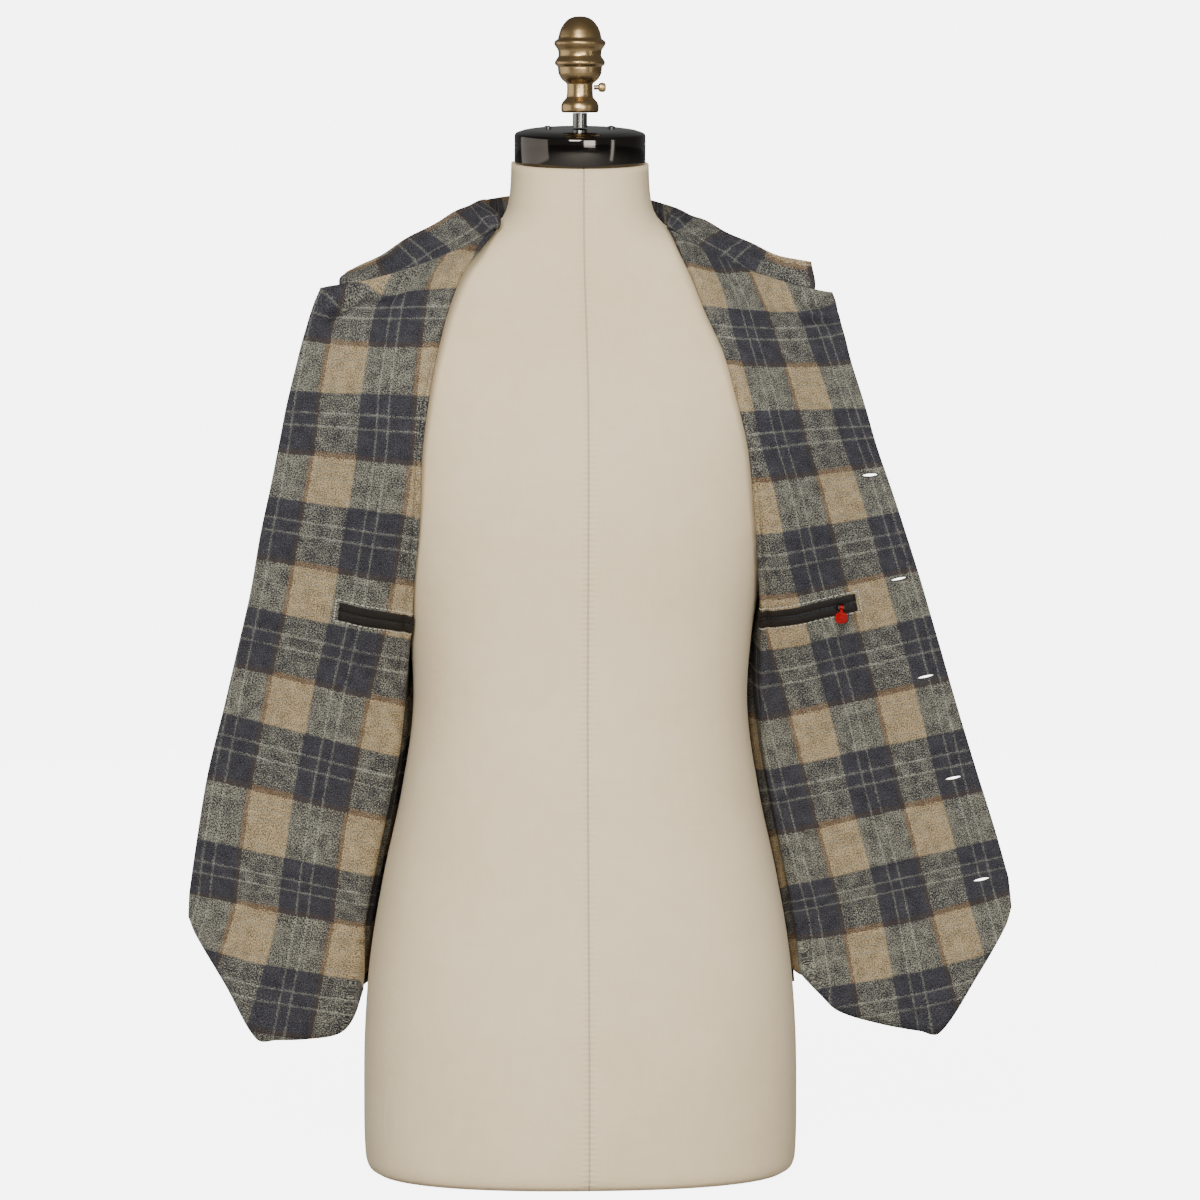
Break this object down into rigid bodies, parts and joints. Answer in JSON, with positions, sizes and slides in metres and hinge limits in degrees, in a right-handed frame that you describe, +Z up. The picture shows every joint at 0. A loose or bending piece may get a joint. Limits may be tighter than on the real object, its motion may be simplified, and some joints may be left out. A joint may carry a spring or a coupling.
{
  "type": "leather gilet on a dress form",
  "caption": "Leather gilet with a checked wool inside and a notched collar, worn wide open on a limbless dress form with a capped neck.",
  "frame": {"origin": "middle of the dress form's flat base", "axes": "+Z up, the wearer faces -Y, +X is the wearer's left"},
  "size_m": [0.6769, 0.2709, 0.9458],
  "materials": {
    "wool": "brushed wool flannel in a navy, grey and beige check with rust lines",
    "leather": "soft dark brown nappa",
    "canvas": "cream linen canvas, slightly aged",
    "gunmetal": "polished black nickel",
    "steel": "polished steel",
    "brass": "aged cast brass",
    "horn": "dark horn",
    "zip": "dark nickel zip on black tape",
    "enamel": "plain glossy red"
  },
  "bodies": {
    "root": {"form_torso": "canvas", "neck_cap": "gunmetal", "cap_screw_left": "steel", "cap_screw_right": "steel", "rod": "steel", "finial": "brass", "front_left": "wool", "front_right": "wool", "back": "leather", "collar": "wool", "welt_upper_left": "leather", "welt_lower_left": "leather", "welt_upper_right": "leather", "welt_lower_right": "leather", "zip": "zip", "zip_slider": "steel", "button_1": "horn", "button_2": "horn", "button_3": "horn", "button_4": "horn", "button_5": "horn"},
    "pull": {"zip_pull": "enamel"},
    "screw": {"thumb_screw": "brass"}
  },
  "joints": [
    {"name": "pull_swing", "type": "hinge", "parent": "root", "child": "pull", "pos_m": [0.20889, -0.06088, 0.46647], "axis": [-0.9975, -0.071, 0], "range_deg": [0, 150]},
    {"name": "screw_turn", "type": "hinge", "parent": "root", "child": "screw", "pos_m": [0.0113, 0, 0.8879], "axis": [1, 0, 0], "continuous": true}
  ]
}
